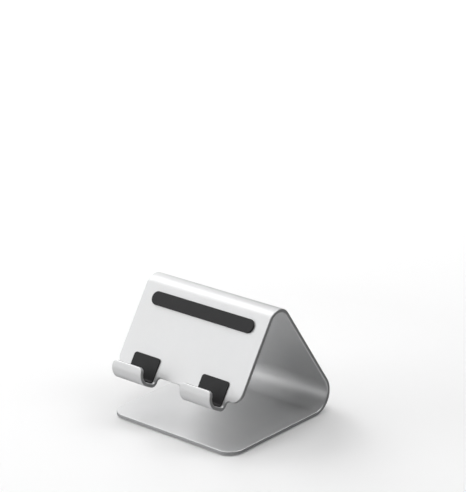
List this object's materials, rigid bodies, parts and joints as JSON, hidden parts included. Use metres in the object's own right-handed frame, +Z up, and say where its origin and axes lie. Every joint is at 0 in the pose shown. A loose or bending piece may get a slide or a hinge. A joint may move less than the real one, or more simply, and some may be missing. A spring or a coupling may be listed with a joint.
{
  "type": "tablet stand",
  "caption": "Fixed tablet stand bent from one aluminium sheet: flat base, forward-leaning riser, sloping rest, and front hooks lined with black silicone.",
  "frame": {"origin": "centre of the stand's footprint box on the table, in line with the feet's undersides", "axes": "+X to the user's right along the sheet's width, -Y towards the user and the hooks, +Z up"},
  "size_m": [0.1324, 0.1168, 0.1006],
  "materials": {
    "aluminium_sheet": "fine bead-blasted satin, silver anodised, with bright chamfered edges",
    "black_silicone": "matte moulded silicone",
    "foot_silicone": "matte moulded silicone",
    "adhesive_film": "thin double-sided adhesive film, seen only at its edge"
  },
  "bodies": {
    "root": {"stand_body": "aluminium_sheet", "hook_liner_left": "black_silicone", "hook_liner_film_left": "adhesive_film", "hook_liner_right": "black_silicone", "hook_liner_film_right": "adhesive_film", "rest_strip": "black_silicone", "rest_strip_film": "adhesive_film", "foot_front_left": "foot_silicone", "foot_rear_left": "foot_silicone", "foot_front_right": "foot_silicone", "foot_rear_right": "foot_silicone", "foot_film_front_left": "adhesive_film", "foot_film_rear_left": "adhesive_film", "foot_film_front_right": "adhesive_film", "foot_film_rear_right": "adhesive_film"}
  },
  "joints": []
}
